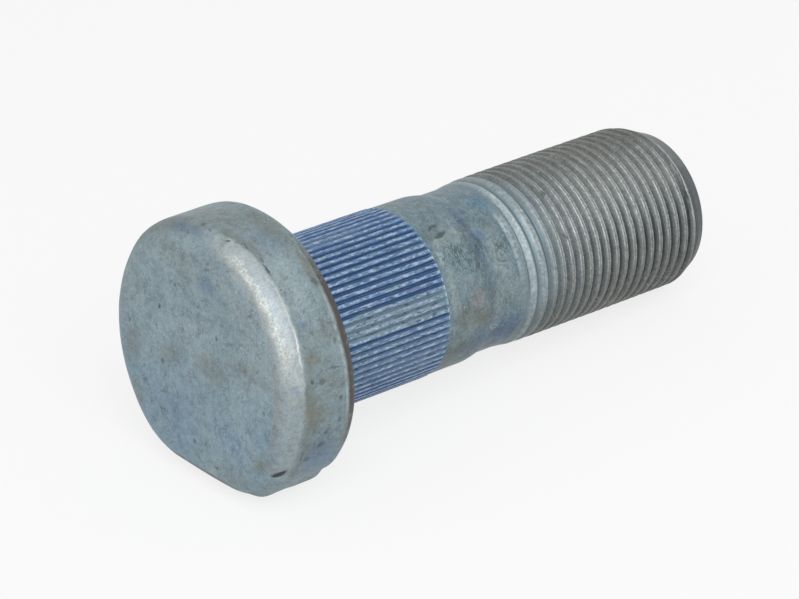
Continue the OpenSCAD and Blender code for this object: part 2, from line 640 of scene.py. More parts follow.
class Finish:
    # a material under construction, with the places that every part of it reads
    def __init__(self, name, look, dip, middle):
        self.look = look
        self.material = bpy.data.materials.new(name)
        self.material.use_nodes = True
        tree = self.material.node_tree
        self.shader = tree.nodes["Principled BSDF"]
        texture = node("TexCoord", {}, tree)["Object"]
        upright = {"Vector": texture, "Location": middle, "Rotation": (0, dip, 0),
                   "Scale": (mm, mm, mm)}
        self.position = node("Mapping", upright, vector_type="TEXTURE")[0]
        place = useGroup(boltPlace, {"Position": self.position})
        self.along, self.radius, self.turn = place["Along"], place["Radius"], place["Turn"]
        self.side, self.up = place["Side"], place["Up"]

    def clouds(self, size, low, high, seed=0.0, detail=3.0, position=None):
        return useGroup(mottle, {"Position": position or self.position, "Size": size, "Low": low,
                                 "High": high, "Seed": seed, "Detail": detail})["Mask"]

    def hairs(self, size, width, seed=0.0, curl=1.0, position=None):
        return useGroup(hairlines, {"Position": position or self.position, "Size": size,
                                    "Width": width, "Seed": seed, "Curl": curl})["Mask"]

    def stretched(self, along, across):
        # the position with its scale changed along and across the axis
        inputs = {0: self.position, 1: (along, across, across)}
        return node("VectorMath", inputs, operation="MULTIPLY")[0]

    def ragged(self, across, down, size, amount):
        # a flat place that gives the marks on it ragged edges
        return useGroup(raggedPlace, {"Across": across, "Down": down, "Position": self.position,
                                      "Size": size, "Amount": amount})["Place"]

    def complete(self, paint, rough, height, strength):
        # height in mm
        link(paint.colour, self.shader.inputs["Base Color"])
        self.shader.inputs["Metallic"].default_value = self.look["metallic"]
        self.shader.inputs["Specular IOR Level"].default_value = 0.3
        link(rough, self.shader.inputs["Roughness"])
        bump = node("Bump", {"Height": height, "Strength": strength, "Distance": mm})[0]
        link(bump, self.shader.inputs["Normal"])
        return self.material


class Paint:
    # a colour built up in layers, each a colour of the look or another paint
    def __init__(self, finish, share, under, upper):
        self.finish = finish
        self.colour = blend(share, self.plain(under), self.plain(upper))

    def plain(self, layer):
        return layer.colour if isinstance(layer, Paint) else self.finish.look[layer]

    def lay(self, mask, layer, strength=1.0):
        mask = mask if strength == 1.0 else times(mask, strength)
        self.colour = blend(mask, self.colour, self.plain(layer))

    def shade(self, level):
        self.colour = blend(1.0, self.colour, level, way="MULTIPLY")

    def speckle(self, size, dark, light, seed):
        # lighter and darker by the grain of the coating
        self.shade(scaled(self.finish.clouds(size, 0.25, 0.75, seed, 2.0), light - dark, dark))


def marks(place, spots, soft, down=1.0):
    # spots: centre, half length, half width, strength, tilt in degrees where there is one
    total = None
    for x, y, length, width, strength, *tilt in spots:
        mask = useGroup(ovalMark, {
            "Place": place, "Centre": (x, y * down, 0), "Size": (length, width, 1),
            "Tilt": (0, 0, math.radians(sum(tilt))), "Soft": soft})["Mask"]
        mask = times(mask, strength)
        total = most(total, mask) if total else mask
    return total


# ---- the head's finish: blue zinc, worn bright round the front edge

headFinish = dict(
    zinc=(138, 158, 166),
    paleZinc=(152, 171, 178),
    coolZinc=(130, 157, 174),
    rimZinc=(130, 148, 153),
    brown=(118, 118, 108),
    darkSpeck=(74, 82, 88),
    blueStain=(98, 124, 156),
    palePatch=(152, 168, 174),
    beige=(138, 146, 139),
    fringe=(150, 146, 140),
    worn=(184, 191, 191),
    bandHighlight=(226, 230, 226),
    wornFringe=(172, 168, 165),
    wornDull=(172, 178, 176),
    creaseHighlight=(222, 232, 230),
    wornBlue=(162, 176, 185),
    soilAndShade=(80, 72, 68),
    edgeHighlight=(190, 198, 196),
    slit=(58, 68, 70),
    flatSoil=(100, 90, 90),
    metallic=0.3,
    # on the face: mm up, mm towards the camera's side, half length, half width, strength, tilt if any
    faceSpecks=(
        (4.9, -7.3, 0.34, 0.22, 0.8, 20), (0.8, -13.5, 0.3, 0.2, 0.7), (2.2, -7.9, 0.25, 0.2, 0.7),
        (11.8, -4.0, 0.24, 0.18, 0.6), (8.9, -4.2, 0.3, 0.2, 0.5, 40), (4.8, 3.9, 0.3, 0.24, 0.7),
        (10.2, 10.3, 0.36, 0.3, 0.5), (6.4, -1.0, 0.22, 0.16, 0.4), (-2.3, -6.9, 0.4, 0.3, 0.5, 30),
        (-6.2, -10.4, 0.5, 0.3, 0.5, 60), (5.1, 6.6, 0.6, 0.16, 0.35, 70),
        (5.6, 8.3, 0.45, 0.16, 0.4, 30), (3.6, 11.7, 0.5, 0.18, 0.4, 50),
        (-10.7, -0.6, 0.34, 0.26, 0.65), (-10.2, 1.6, 0.26, 0.2, 0.5),
        (-1.5, 12.9, 0.4, 0.26, 0.5, 20), (-6.4, -6.6, 0.9, 0.14, 0.4, 80),
        (-8.8, -6.9, 0.8, 0.16, 0.5, 100), (-9.9, -5.9, 0.5, 0.16, 0.4, 140),
        (-12.6, 3.6, 0.4, 0.2, 0.5, 90),
    ),
    faceBrowns=(
        (-2.3, -12.8, 2.4, 1.5, 0.4, 10), (-0.8, -5.4, 1.9, 1.3, 0.35, 60),
        (0.2, 2.6, 1.5, 2.6, 0.4, 10), (-8.5, 13.6, 3.2, 1.0, 0.4, 70),
        (2.8, 10.4, 2.8, 0.9, 0.35, 100), (13.0, -4.5, 1.4, 4.0, 0.3, 20),
    ),
    facePales=(
        (4.0, 11.4, 2.8, 1.7, 0.6), (12.3, -3.4, 1.1, 3.4, 0.55), (9.6, 8.2, 2.8, 1.8, 0.5, -40),
    ),
    faceBeiges=((-12.8, 7.5, 1.9, 3.8, 0.45, -20), (-9.5, -12.6, 3.0, 1.6, 0.5, 30)),
    faceBlues=((11.2, 2.1, 1.4, 1.2, 0.45), (-7.6, -4.2, 1.8, 1.5, 0.3)),
    # on the rim: mm from the bearing face, degrees round, the rest as on the face
    rimSpecks=(
        (-5.6, 80.3, 0.5, 0.3, 0.6), (-7.1, 79.3, 0.2, 0.3, 0.75), (-7.2, 65.5, 0.15, 0.25, 0.5),
        (-8.1, 82.3, 0.25, 0.5, 0.4), (-3.0, 89.3, 0.3, 0.4, 0.6), (-3.6, 76.5, 0.9, 0.2, 0.6, 8),
        (-2.7, 66.5, 0.25, 0.5, 0.5), (-2.7, 59.6, 0.3, 0.15, 0.5), (-3.9, 57.6, 0.6, 0.14, 0.4, 15),
        (-3.2, 98.8, 0.3, 0.35, 0.5), (-4.9, 102.3, 0.5, 0.25, 0.5, -49),
        (-4.1, 104.0, 0.7, 0.2, 0.4, -49), (-5.4, 108.2, 0.5, 0.3, 0.7, -49),
        (-3.2, 102.4, 0.5, 0.16, 0.35, -49), (-6.9, 114.3, 0.4, 0.4, 0.6),
        (-6.2, 105.0, 0.7, 0.16, 0.3, -49), (-8.0, 111.0, 0.2, 0.8, 0.5),
        (-7.55, 19.5, 0.1, 0.6, 0.7), (-7.2, 28.0, 0.2, 0.4, 0.5), (-7.4, 32.4, 0.15, 0.9, 0.85),
        (-8.7, 12.7, 0.2, 0.35, 0.8, -30), (-8.7, -3.0, 0.3, 0.4, 0.6), (-9.0, 2.5, 0.15, 0.35, 0.5),
        (-2.4, 42.5, 0.3, 0.5, 0.5),
    ),
    rimBrowns=(
        (-6.7, 93.5, 1.5, 2.4, 0.6), (-8.0, 88.0, 0.4, 3.0, 0.4), (-2.3, 37.0, 0.5, 3.2, 0.6),
        (-2.9, 12.0, 0.4, 1.6, 0.6), (-6.0, -4.0, 2.0, 4.0, 0.35), (-9.4, -24.0, 1.1, 6.0, 0.5),
        (-1.6, 102.0, 0.5, 3.4, 0.5), (-8.0, 116.0, 0.3, 1.4, 0.5), (-3.6, 84.0, 1.2, 1.6, 0.35),
        (-3.0, 12.0, 1.3, 4.0, 0.4), (-7.2, 110.0, 0.8, 1.8, 0.6), (-6.2, 71.0, 0.9, 0.7, 0.5),
    ),
    rimBlues=(
        (-9.6, -14.0, 0.5, 1.6, 0.6), (-9.8, -3.5, 0.5, 2.2, 0.45), (-9.0, 80.5, 0.4, 0.9, 0.5),
        (-9.2, 91.0, 0.4, 0.6, 0.4), (-6.5, 57.5, 0.6, 0.5, 0.5), (-4.9, 117.0, 2.4, 3.8, 0.5, -30),
        (-4.8, 20.0, 1.6, 2.4, 0.2),
    ),
    # pale patches on the rim, painted reflections
    rimReflections=((-5.7, 40.0, 2.0, 5.2, 0.75), (-5.6, -16.0, 2.6, 4.0, 0.65)),
    slitPlace=(-9.6, 122.6, 1.15, 0.25, 1.0, -69),
)


def forgedZinc(finish):
    # what the outer face and the rim share: pale and bluer on the face, duller on the rim
    finish.facePlace = finish.ragged(finish.up, finish.side, 0.7, 0.9)
    finish.onFace = ease(finish.along, -9.6, -10.5)
    paint = Paint(finish, finish.clouds(4.0, 0.3, 0.7), "zinc", "paleZinc")
    low = ease(finish.up, 4.0, -8.0)
    paint.lay(times(low, finish.clouds(6, 0.25, 0.6, 4)), "coolZinc", 0.8)
    paint = Paint(finish, finish.onFace, Paint(finish, 0.85, paint, "rimZinc"), paint)
    paint.lay(finish.clouds(2.6, 0.56, 0.76, 12, 5.0), "brown", 0.35)
    # pale inside the upper end of the worn edge, pinkish inside its lower end
    inside = times(band(finish.radius, 12.4, 14.9, 0.7), band(finish.turn, 14, 56, 10))
    paint.lay(inside, "palePatch", 0.8)
    fringe = times(band(finish.radius, 14.9, 16.0, 0.6), band(finish.turn, 72, 118, 10))
    paint.lay(fringe, "fringe", 0.5)
    for name, shade in (("faceBrowns", "brown"), ("facePales", "palePatch"), ("faceBeiges", "beige")):
        spots = times(marks(finish.facePlace, finish.look[name], 0.6), finish.onFace)
        paint.lay(spots, shade)
    return paint


def crazedZinc(finish, paint):
    # fine grain, and dark and pale hairlines in the coating
    paint.speckle(0.3, 0.86, 1.1, 21)
    paint.speckle(0.9, 0.91, 1.09, 22)
    crazed = most(finish.hairs(1.1, 0.022, 31), finish.hairs(0.6, 0.03, 32))
    crazed = times(crazed, finish.clouds(1.6, 0.42, 0.6, 33))
    paint.lay(crazed, "darkSpeck", 0.5)
    pale = times(finish.hairs(0.9, 0.025, 37), finish.clouds(1.8, 0.45, 0.65, 38))
    paint.lay(pale, "paleZinc", 0.6)


def finishForged(finish, paint, wearAndSheen=None, dent=None):
    grain = finish.clouds(0.4, 0.25, 0.75, 63, 2.0)
    rough = scaled(grain, 0.06, 0.5)
    if wearAndSheen:
        rough = scaled(wearAndSheen, -0.03, rough)
    height = scaled(grain, 0.008, times(finish.clouds(1.5, 0.2, 0.8, 61), 0.02))
    if dent:
        height = scaled(dent, -0.12, height)
    return finish.complete(paint, rough, height, 0.9)


def makeFaceFinish(dip, middle):
    finish = Finish("blue zinc on the outer face", headFinish, dip, middle)
    paint = forgedZinc(finish)
    paint.lay(marks(finish.facePlace, finish.look["faceBlues"], 0.6), "blueStain")
    crazedZinc(finish, paint)
    specks = marks(finish.facePlace, finish.look["faceSpecks"], 0.4)
    paint.lay(specks, "darkSpeck")
    return finishForged(finish, paint)


def makeRimFinish(dip, middle):
    finish = Finish("blue zinc on the rim", headFinish, dip, middle)
    turn = finish.turn
    arc = math.radians(1) * head["radius"] / mm  # mm of rim to a degree
    arcPlace = times(turn, arc)
    rimPlace = finish.ragged(finish.along, arcPlace, 0.7, 0.8)
    paint = forgedZinc(finish)
    onRim = minus(1.0, finish.onFace)

    def rimMarks(name, soft=0.6):
        return times(marks(rimPlace, finish.look[name], soft, arc), onRim)

    paint.lay(times(finish.clouds(2.4, 0.45, 0.72, 11, 5.0), onRim), "brown", 0.35)
    # painted reflections: pale patches on the rim
    paint.lay(rimMarks("rimReflections"), "palePatch")
    paint.lay(rimMarks("rimBrowns"), "brown")
    paint.lay(rimMarks("rimBlues"), "blueStain")
    crazedZinc(finish, paint)
    # the front edge, worn bright, most on the side that faces the lamp and the camera, where the
    # brightness is partly a painted highlight
    out = minus(finish.radius, (head["radius"] - head["frontRound"]) / mm)
    down = minus(-(head["thickness"] - head["frontRound"]) / mm, finish.along)
    bend = calc("DEGREES", calc("ARCTAN2", down, out))
    sway = scaled(finish.clouds(1.2, 0.2, 0.8, 41), 14.0, -7.0)
    swayed = plus(bend, sway)
    # the worn band starts at the crease, and further in towards both its ends
    narrow = plus(ease(turn, 27, 4, 0, 21), ease(turn, 58, 76, 0, 6.5))
    narrow = plus(narrow, ease(turn, 76, 106, 0, 13))
    narrow = plus(narrow, times(band(turn, 38, 52, 6), -4.0))
    outer = minus(scaled(sway, 0.4, bend), narrow)
    wornArc = times(ease(outer, -5, 4), ease(swayed, 79, 49))
    turnSway = plus(turn, sway)
    wornAndLitTurn = times(ease(turnSway, -8, 25), ease(turnSway, 86, 68, 0.4, 1.0),
                     ease(turnSway, 134, 112))
    elsewhere = times(finish.clouds(5, 0.4, 0.7, 47), 0.35)
    elsewhere = most(elsewhere, band(turn, -112, -60, 12))
    wornArc = times(wornArc, ease(outer, -2, 14, 0.86, 1.0))
    wearAndSheen = times(wornArc, most(wornAndLitTurn, times(elsewhere, 0.36)))
    spots = finish.clouds(0.8, 0.54, 0.68, 43, 4.0)
    wearAndSheen = times(wearAndSheen, scaled(spots, -0.35, 1.0))
    scratches = most(finish.clouds(0.22, 0.3, 0.7, 45, 3.0), finish.hairs(0.5, 0.03, 48))
    bright = Paint(finish, scratches, "wornDull", "worn")
    bright.lay(finish.clouds(1.0, 0.46, 0.66, 46), "wornBlue", 0.6)
    # across the bend it is painted light and shade as well as wear: bluish and duller along its
    # middle, where the lamp's highlight already falls, a painted highlight whitest further in, and
    # pinkish where it fades
    bluishShade = times(band(swayed, 9, 32, 7), band(turn, 22, 62, 10))
    bright.lay(bluishShade, "wornBlue", 0.6)
    whiteHighlight = times(band(swayed, 36, 52, 7), band(turn, 22, 68, 12), scratches)
    bright.lay(whiteHighlight, "bandHighlight", 0.8)
    bright.lay(ease(swayed, 52, 68), "wornFringe", 0.6)
    bright.speckle(0.3, 0.86, 1.12, 49)
    paint.lay(wearAndSheen, bright)
    # a painted highlight along the crease, and painted shade on the rim beside it
    crease = most(band(turn, 58, 71, 5), times(band(turn, 42, 58, 6), 0.4))
    crease = times(crease, band(outer, 4, 7.5, 2), finish.clouds(0.9, 0.26, 0.46, 56))
    paint.lay(crease, "creaseHighlight")
    beside = most(band(turn, 6, 26, 8), band(turn, 70, 114, 8))
    paint.lay(times(band(outer, -24, -5, 6), beside), "brown", 0.4)
    # the back edge: a painted highlight along it, and painted shade with a brown tint on the rounding
    # beyond it
    ragged = scaled(finish.clouds(2.4, 0.2, 0.8, 53), 0.2, minus(finish.along, 0.1))
    backEdgeHighlight = times(band(ragged, -2.2, -1.95, 0.14), band(turn, 48, 96, 6),
                 finish.clouds(0.8, 0.35, 0.55, 55))
    paint.lay(backEdgeHighlight, "edgeHighlight", 0.5)
    inward = scaled(sway, 0.12, finish.radius)
    # painted shade, tinted brown, on the back rounding that faces away from the light
    soilAndShade = times(ease(ragged, -1.9, -1.5), ease(turnSway, 14, 44), ease(turnSway, 128, 90),
                 finish.clouds(1.4, 0.16, 0.4, 51), ease(inward, 14.4, 16.8, 0.12, 1.0))
    paint.lay(soilAndShade, "soilAndShade", 0.95)
    # soil along the front edge of the flat
    flatSoil = times(ease(finish.up, -13.9, -14.5), ease(finish.along, -8.2, -9.0),
                     band(finish.side, -11, 6, 2), finish.clouds(1.2, 0.3, 0.5, 57))
    paint.lay(flatSoil, "flatSoil", 0.85)
    paint.lay(rimMarks("rimSpecks", 0.4), "darkSpeck")
    clean = node("CombineXYZ", {0: finish.along, 1: arcPlace})[0]
    slit = marks(clean, [finish.look["slitPlace"]], 0.3, arc)
    paint.lay(slit, "slit")
    return finishForged(finish, paint, wearAndSheen, slit)


# ---- the knurl's finish: deep blue grooves, paler teeth

knurlFinish = dict(
    groove=(64, 94, 139),
    grooveReflection=(92, 124, 154),
    greyGroove=(134, 156, 168),
    tooth=(112, 143, 177),
    greyTooth=(116, 139, 150),
    greenTooth=(114, 147, 152),
    violetTooth=(142, 154, 188),
    topTooth=(104, 140, 184),
    fleck=(172, 196, 217),
    endGlint=(198, 210, 222),
    soilAndShade=(70, 84, 104),
    metallic=0.35,
)


def makeKnurlFinish(dip, middle):
    finish = Finish("blue zinc on the knurl", knurlFinish, dip, middle)
    streaks = finish.stretched(0.35, 1.0)
    sway = scaled(finish.clouds(3.0, 0.2, 0.8, 3, position=streaks), 8.0, -4.0)
    turn, swayed = finish.turn, plus(finish.turn, sway)
    # greyer in a band below the side that faces the camera and towards the underside, where the
    # grooves are also painted lighter against their shade, and greyer in random patches
    greyAndLit = times(band(swayed, 63, 80, 3), 0.85)
    greyAndLit = most(greyAndLit, times(ease(swayed, 80, 88, 0.0, 0.3), ease(swayed, 132, 104)))
    greyAndLit = times(greyAndLit, ease(swayed, 55, 62))
    greyAndLit = most(greyAndLit, times(finish.clouds(4, 0.5, 0.75, 7, position=streaks), 0.5))
    # bright along the middle of each tooth, blue at its edges and between the teeth
    step = 360 / knurl["teeth"]
    drift = times(ease(turn, 85, 20), ease(turn, -90, -20), knurl["drift"])
    ahead = minus(plus(turn, 360.0), drift)
    phase = calc("FRACT", calc("DIVIDE", ahead, step))
    beaded = finish.stretched(0.42, 1.6)
    edge = scaled(finish.clouds(0.5, 0.2, 0.8, 25, 3.0, beaded), 0.12, -0.06)
    off = plus(calc("ABSOLUTE", minus(phase, 0.53)), edge)
    tip = times(ease(off, 0.31, 0.14), ease(finish.radius, 10.8, 10.98))
    grooves = Paint(finish, greyAndLit, "groove", "greyGroove")
    # a painted reflection along the root of each groove, on the upper side
    rootReflection = times(ease(off, 0.4, 0.47), band(turn, 0, 62, 10))
    grooves.lay(rootReflection, "grooveReflection", 0.75)
    teeth = Paint(finish, greyAndLit, "tooth", "greyTooth")
    teeth.lay(finish.clouds(1.2, 0.46, 0.62, 28, 3.0, streaks), "greenTooth", 0.75)
    teeth.lay(finish.clouds(1.1, 0.5, 0.64, 30, 3.0, streaks), "violetTooth", 0.6)
    upper = times(ease(turn, 24, 4), ease(turn, -175, -110))
    teeth.lay(upper, "topTooth", 0.6)
    mixed = finish.clouds(0.9, 0.35, 0.65, 9, 4.0, streaks)
    teeth.lay(mixed, grooves, 0.5)
    paint = Paint(finish, tip, grooves, teeth)
    flecks = times(finish.clouds(0.36, 0.47, 0.6, 13, 2.0, beaded), ease(off, 0.26, 0.12))
    paint.lay(flecks, "fleck", 0.75)
    dirt = finish.clouds(0.5, 0.56, 0.66, 17, 3.0, beaded)
    paint.lay(dirt, "soilAndShade", 0.8)
    paint.speckle(0.22, 0.84, 1.14, 27)
    # painted glints at the ends of the teeth, brightest on the side towards the lamp
    lit = times(ease(turn, 20, 44, 0.3, 1.0), ease(turn, 100, 80, 0.3, 1.0))
    endGlints = times(band(finish.along, 19.7, 20.1, 0.1), ease(off, 0.36, 0.16), lit,
                 finish.clouds(0.5, 0.3, 0.5, 33))
    paint.lay(endGlints, "endGlint")
    rough = scaled(minus(1.0, tip), 0.1, 0.4)
    height = times(finish.clouds(0.5, 0.2, 0.8, 23, 3.0, finish.stretched(0.5, 1.0)), 0.03)
    return finish.complete(paint, rough, height, 0.8)


# ---- the shank's finish: zinc on the shoulder and neck, bright crests on the thread

shankFinish = dict(
    zinc=(116, 134, 141),
    paleZinc=(132, 148, 152),
    dark=(76, 90, 90),
    curl=(72, 89, 90),
    olive=(112, 118, 108),
    pink=(142, 140, 140),
    blue=(86, 113, 144),
    teal=(98, 136, 158),
    pale=(152, 166, 168),
    slopeShade=(84, 99, 120),
    ridge=(166, 179, 184),
    ridgeHighlight=(190, 203, 207),
    dullRidge=(152, 165, 169),
    ridgeGap=(92, 107, 116),
    crest=(158, 165, 165),
    lipHighlightAndScratch=(214, 220, 218),
    dullAndShadedCrest=(122, 125, 122),
    flank=(126, 131, 131),
    shadedFlank=(112, 115, 112),
    groove=(65, 69, 70),
    topGroove=(126, 128, 125),
    blueGroove=(104, 115, 120),
    chamferBase=(88, 92, 94),
    chamferTop=(102, 109, 112),
    endFace=(122, 131, 134),
    endStain=(98, 104, 106),
    metallic=0.35,
    # mm from the bearing face, degrees round, half length, half width, strength, tilt if any
    pits=(
        (22.4, 24.4, 0.95, 0.24, 0.9, -14), (22.6, 31.6, 1.1, 0.32, 0.9, -12),
        (40.2, 27.0, 0.25, 0.5, 0.7), (40.2, 61.0, 0.25, 0.5, 0.7), (31.6, 44.0, 0.4, 0.3, 0.4),
        (28.4, 98.0, 0.3, 0.15, 0.5, 20), (27.8, 112.5, 0.7, 0.25, 0.6, -30),
        (29.8, 61.5, 0.8, 0.1, 0.6, 14), (29.6, 64.5, 0.7, 0.1, 0.4, 12),
    ),
    flecked=((23.2, 47.0, 2.6, 1.8, 0.9), (24.8, 57.0, 1.8, 1.4, 0.7), (30.6, 52.0, 1.4, 1.4, 0.9),
             (26.9, 49.0, 1.2, 1.6, 1.0), (30.2, 66.0, 1.6, 1.2, 0.5), (24.6, 67.0, 1.6, 1.4, 0.5)),
    pales=((22.0, 36.5, 1.6, 0.7, 0.8), (20.8, 46.0, 0.6, 1.4, 0.8), (28.8, 108.0, 1.5, 1.2, 0.7),
           (24.1, 33.0, 1.1, 2.0, 0.6), (20.9, 70.0, 0.8, 2.8, 0.6), (29.4, 60.0, 1.6, 2.4, 0.6),
           (32.6, 66.0, 0.5, 5.0, 0.6)),
    blues=(
        (27.2, 41.0, 0.45, 0.8, 0.85), (28.1, 40.0, 0.6, 0.7, 0.4), (28.3, 19.5, 0.5, 0.7, 0.6),
        (26.9, 21.0, 0.7, 2.0, 0.5), (30.3, 116.0, 5.4, 2.8, 0.85), (27.5, 47.5, 0.5, 1.0, 0.6),
        (25.3, 107.0, 1.6, 1.2, 0.4), (29.0, 107.0, 2.4, 0.9, 0.4), (33.4, 11.0, 0.7, 1.6, 0.4),
    ),
    teals=((31.4, 14.0, 1.5, 1.3, 0.8), (31.8, 22.0, 0.9, 1.0, 0.5), (28.0, 39.0, 0.7, 0.8, 0.5)),
    scratches=((27.7, 108.0, 0.9, 0.07, 0.8, 28), (28.2, 107.0, 0.9, 0.06, 0.7, 32),
               (28.1, 99.5, 0.6, 0.06, 0.6, -18), (27.2, 105.0, 0.5, 0.05, 0.6, 20)),
    olives=(
        (22.8, 90.0, 2.2, 1.5, 0.6), (21.5, 113.0, 1.8, 2.0, 0.5), (30.2, 37.0, 1.3, 1.5, 0.25),
        (25.7, 36.0, 0.4, 1.2, 0.5), (21.3, 30.0, 0.5, 0.8, 0.5), (25.6, 96.0, 1.5, 1.4, 0.8),
    ),
    pinks=((24.7, 80.0, 0.8, 1.3, 0.75),),
    # on the thread, duller or brighter than the rest
    dullPatches=(
        (54.0, 81.0, 1.8, 1.4, 1.0), (44.6, 6.0, 4.0, 1.6, 0.7), (53.0, 13.0, 1.0, 0.8, 0.8),
    ),
    brightPatches=((52.0, 57.0, 1.8, 1.2, 1.0),),
)


def shankMarks(finish):
    # gives the strength of one list of marks, at places along and round the shank
    arc = math.radians(1) * thread["radius"] / mm
    place = finish.ragged(finish.along, times(finish.turn, arc), 0.8, 1.0)
    return lambda name, soft: marks(place, finish.look[name], soft, arc)


def threadPhase(finish):
    # share of the way from groove to groove, with the first turns set wider
    stretch, pitch = thread["stretch"], thread["pitch"] / mm
    short = minus(thread["stretchBelow"] / mm, finish.along)
    along = scaled(short, (stretch - 1) / stretch, finish.along)
    along = most(along, finish.along)
    turns = scaled(along, 1 / pitch, times(finish.turn, -1 / 360))
    first = (thread["firstGroove"] / mm) / pitch - thread["facing"] / 360
    return calc("FRACT", minus(turns, first - 40))  # 40 turns more, to stay above 0


def alongTurns(finish):
    # mm along the axis, the same all along one turn of the thread
    return scaled(finish.turn, -thread["pitch"] / mm / 360, finish.along)


def rolledSteel(finish, phase):
    # the thread proper: the crests carry a painted highlight on the side towards the lamp and a
    # fainter one on the far side, and are duller elsewhere
    along, turn = finish.along, finish.turn
    turned = scaled(finish.clouds(2.0, 0.2, 0.8, 16), 16.0, minus(turn, 8.0))
    crestSheen = times(ease(turned, 0, 34), ease(turned, 118, 66))
    crestSheen = most(crestSheen, times(band(turned, -130, -60, 24), 0.8))
    flank = ease(finish.radius, 10.36, 10.8)
    crest = ease(finish.radius, 10.78, 10.92)
    # the grooves get dirt and painted shade, except along the top
    grooveDirtAndShade = most(ease(turned, 14, 84), ease(turned, -14, -84))
    grooves = Paint(finish, grooveDirtAndShade, "topGroove", "groove")
    grooves = Paint(finish, ease(along, 37.0, 50.0), "blueGroove", grooves)
    flanks = Paint(finish, crestSheen, "shadedFlank", "flank")
    crests = Paint(finish, crestSheen, "dullAndShadedCrest", "crest")
    steel = Paint(finish, flank, grooves, flanks)
    steel.lay(crest, crests)
    # each crest is two lips that the rolls closed over a dull seam; the lips carry a painted
    # highlight where the crests face the lamp
    seam = band(phase, 0.48, 0.54, 0.03)
    steel.lay(seam, "dullAndShadedCrest", 0.85)
    lips = most(band(phase, 0.34, 0.38, 0.03), band(phase, 0.62, 0.67, 0.03))
    sparkle = finish.clouds(0.35, 0.38, 0.52, 26, 3.0)
    steel.lay(times(lips, sparkle, crestSheen), "lipHighlightAndScratch", 0.8)
    chips = finish.clouds(0.4, 0.5, 0.65, 12, 4.0, finish.stretched(1.6, 0.8))
    steel.lay(times(chips, crest), "dullAndShadedCrest", 0.6)
    # streaks along the turns, left by the rolls
    rolled = node("CombineXYZ", {0: times(alongTurns(finish), 4.0), 1: times(turn, 0.04)})[0]
    streaks = finish.clouds(0.5, 0.3, 0.7, 19, 3.0, rolled)
    steel.shade(scaled(streaks, 0.3, 0.85))
    steel.speckle(0.25, 0.78, 1.19, 18)
    steel.speckle(0.9, 0.92, 1.08, 29)
    shade = scaled(band(turned, 68, 150, 10), -0.08, 1.0)
    shade = times(shade, ease(along, 43, 60, 1.0, 0.84))
    steel.shade(shade)
    nicked = times(finish.hairs(0.6, 0.02, 52, 0.5), finish.clouds(1.2, 0.5, 0.6, 53),
                   most(ease(turned, 24, 8), ease(turned, 104, 114)))
    steel.lay(nicked, "lipHighlightAndScratch", 0.35)
    return steel, turned


def finishShank(finish, paint, dent=0.0):
    # matt metal with a fine grain, lower where it is dented
    grain = finish.clouds(0.35, 0.25, 0.75, 15, 2.0)
    height = scaled(grain, 0.008, times(finish.clouds(1.2, 0.2, 0.8, 14), 0.015))
    height = scaled(dent, -0.04, height)
    return finish.complete(paint, scaled(grain, 0.08, 0.42), height, 0.9)


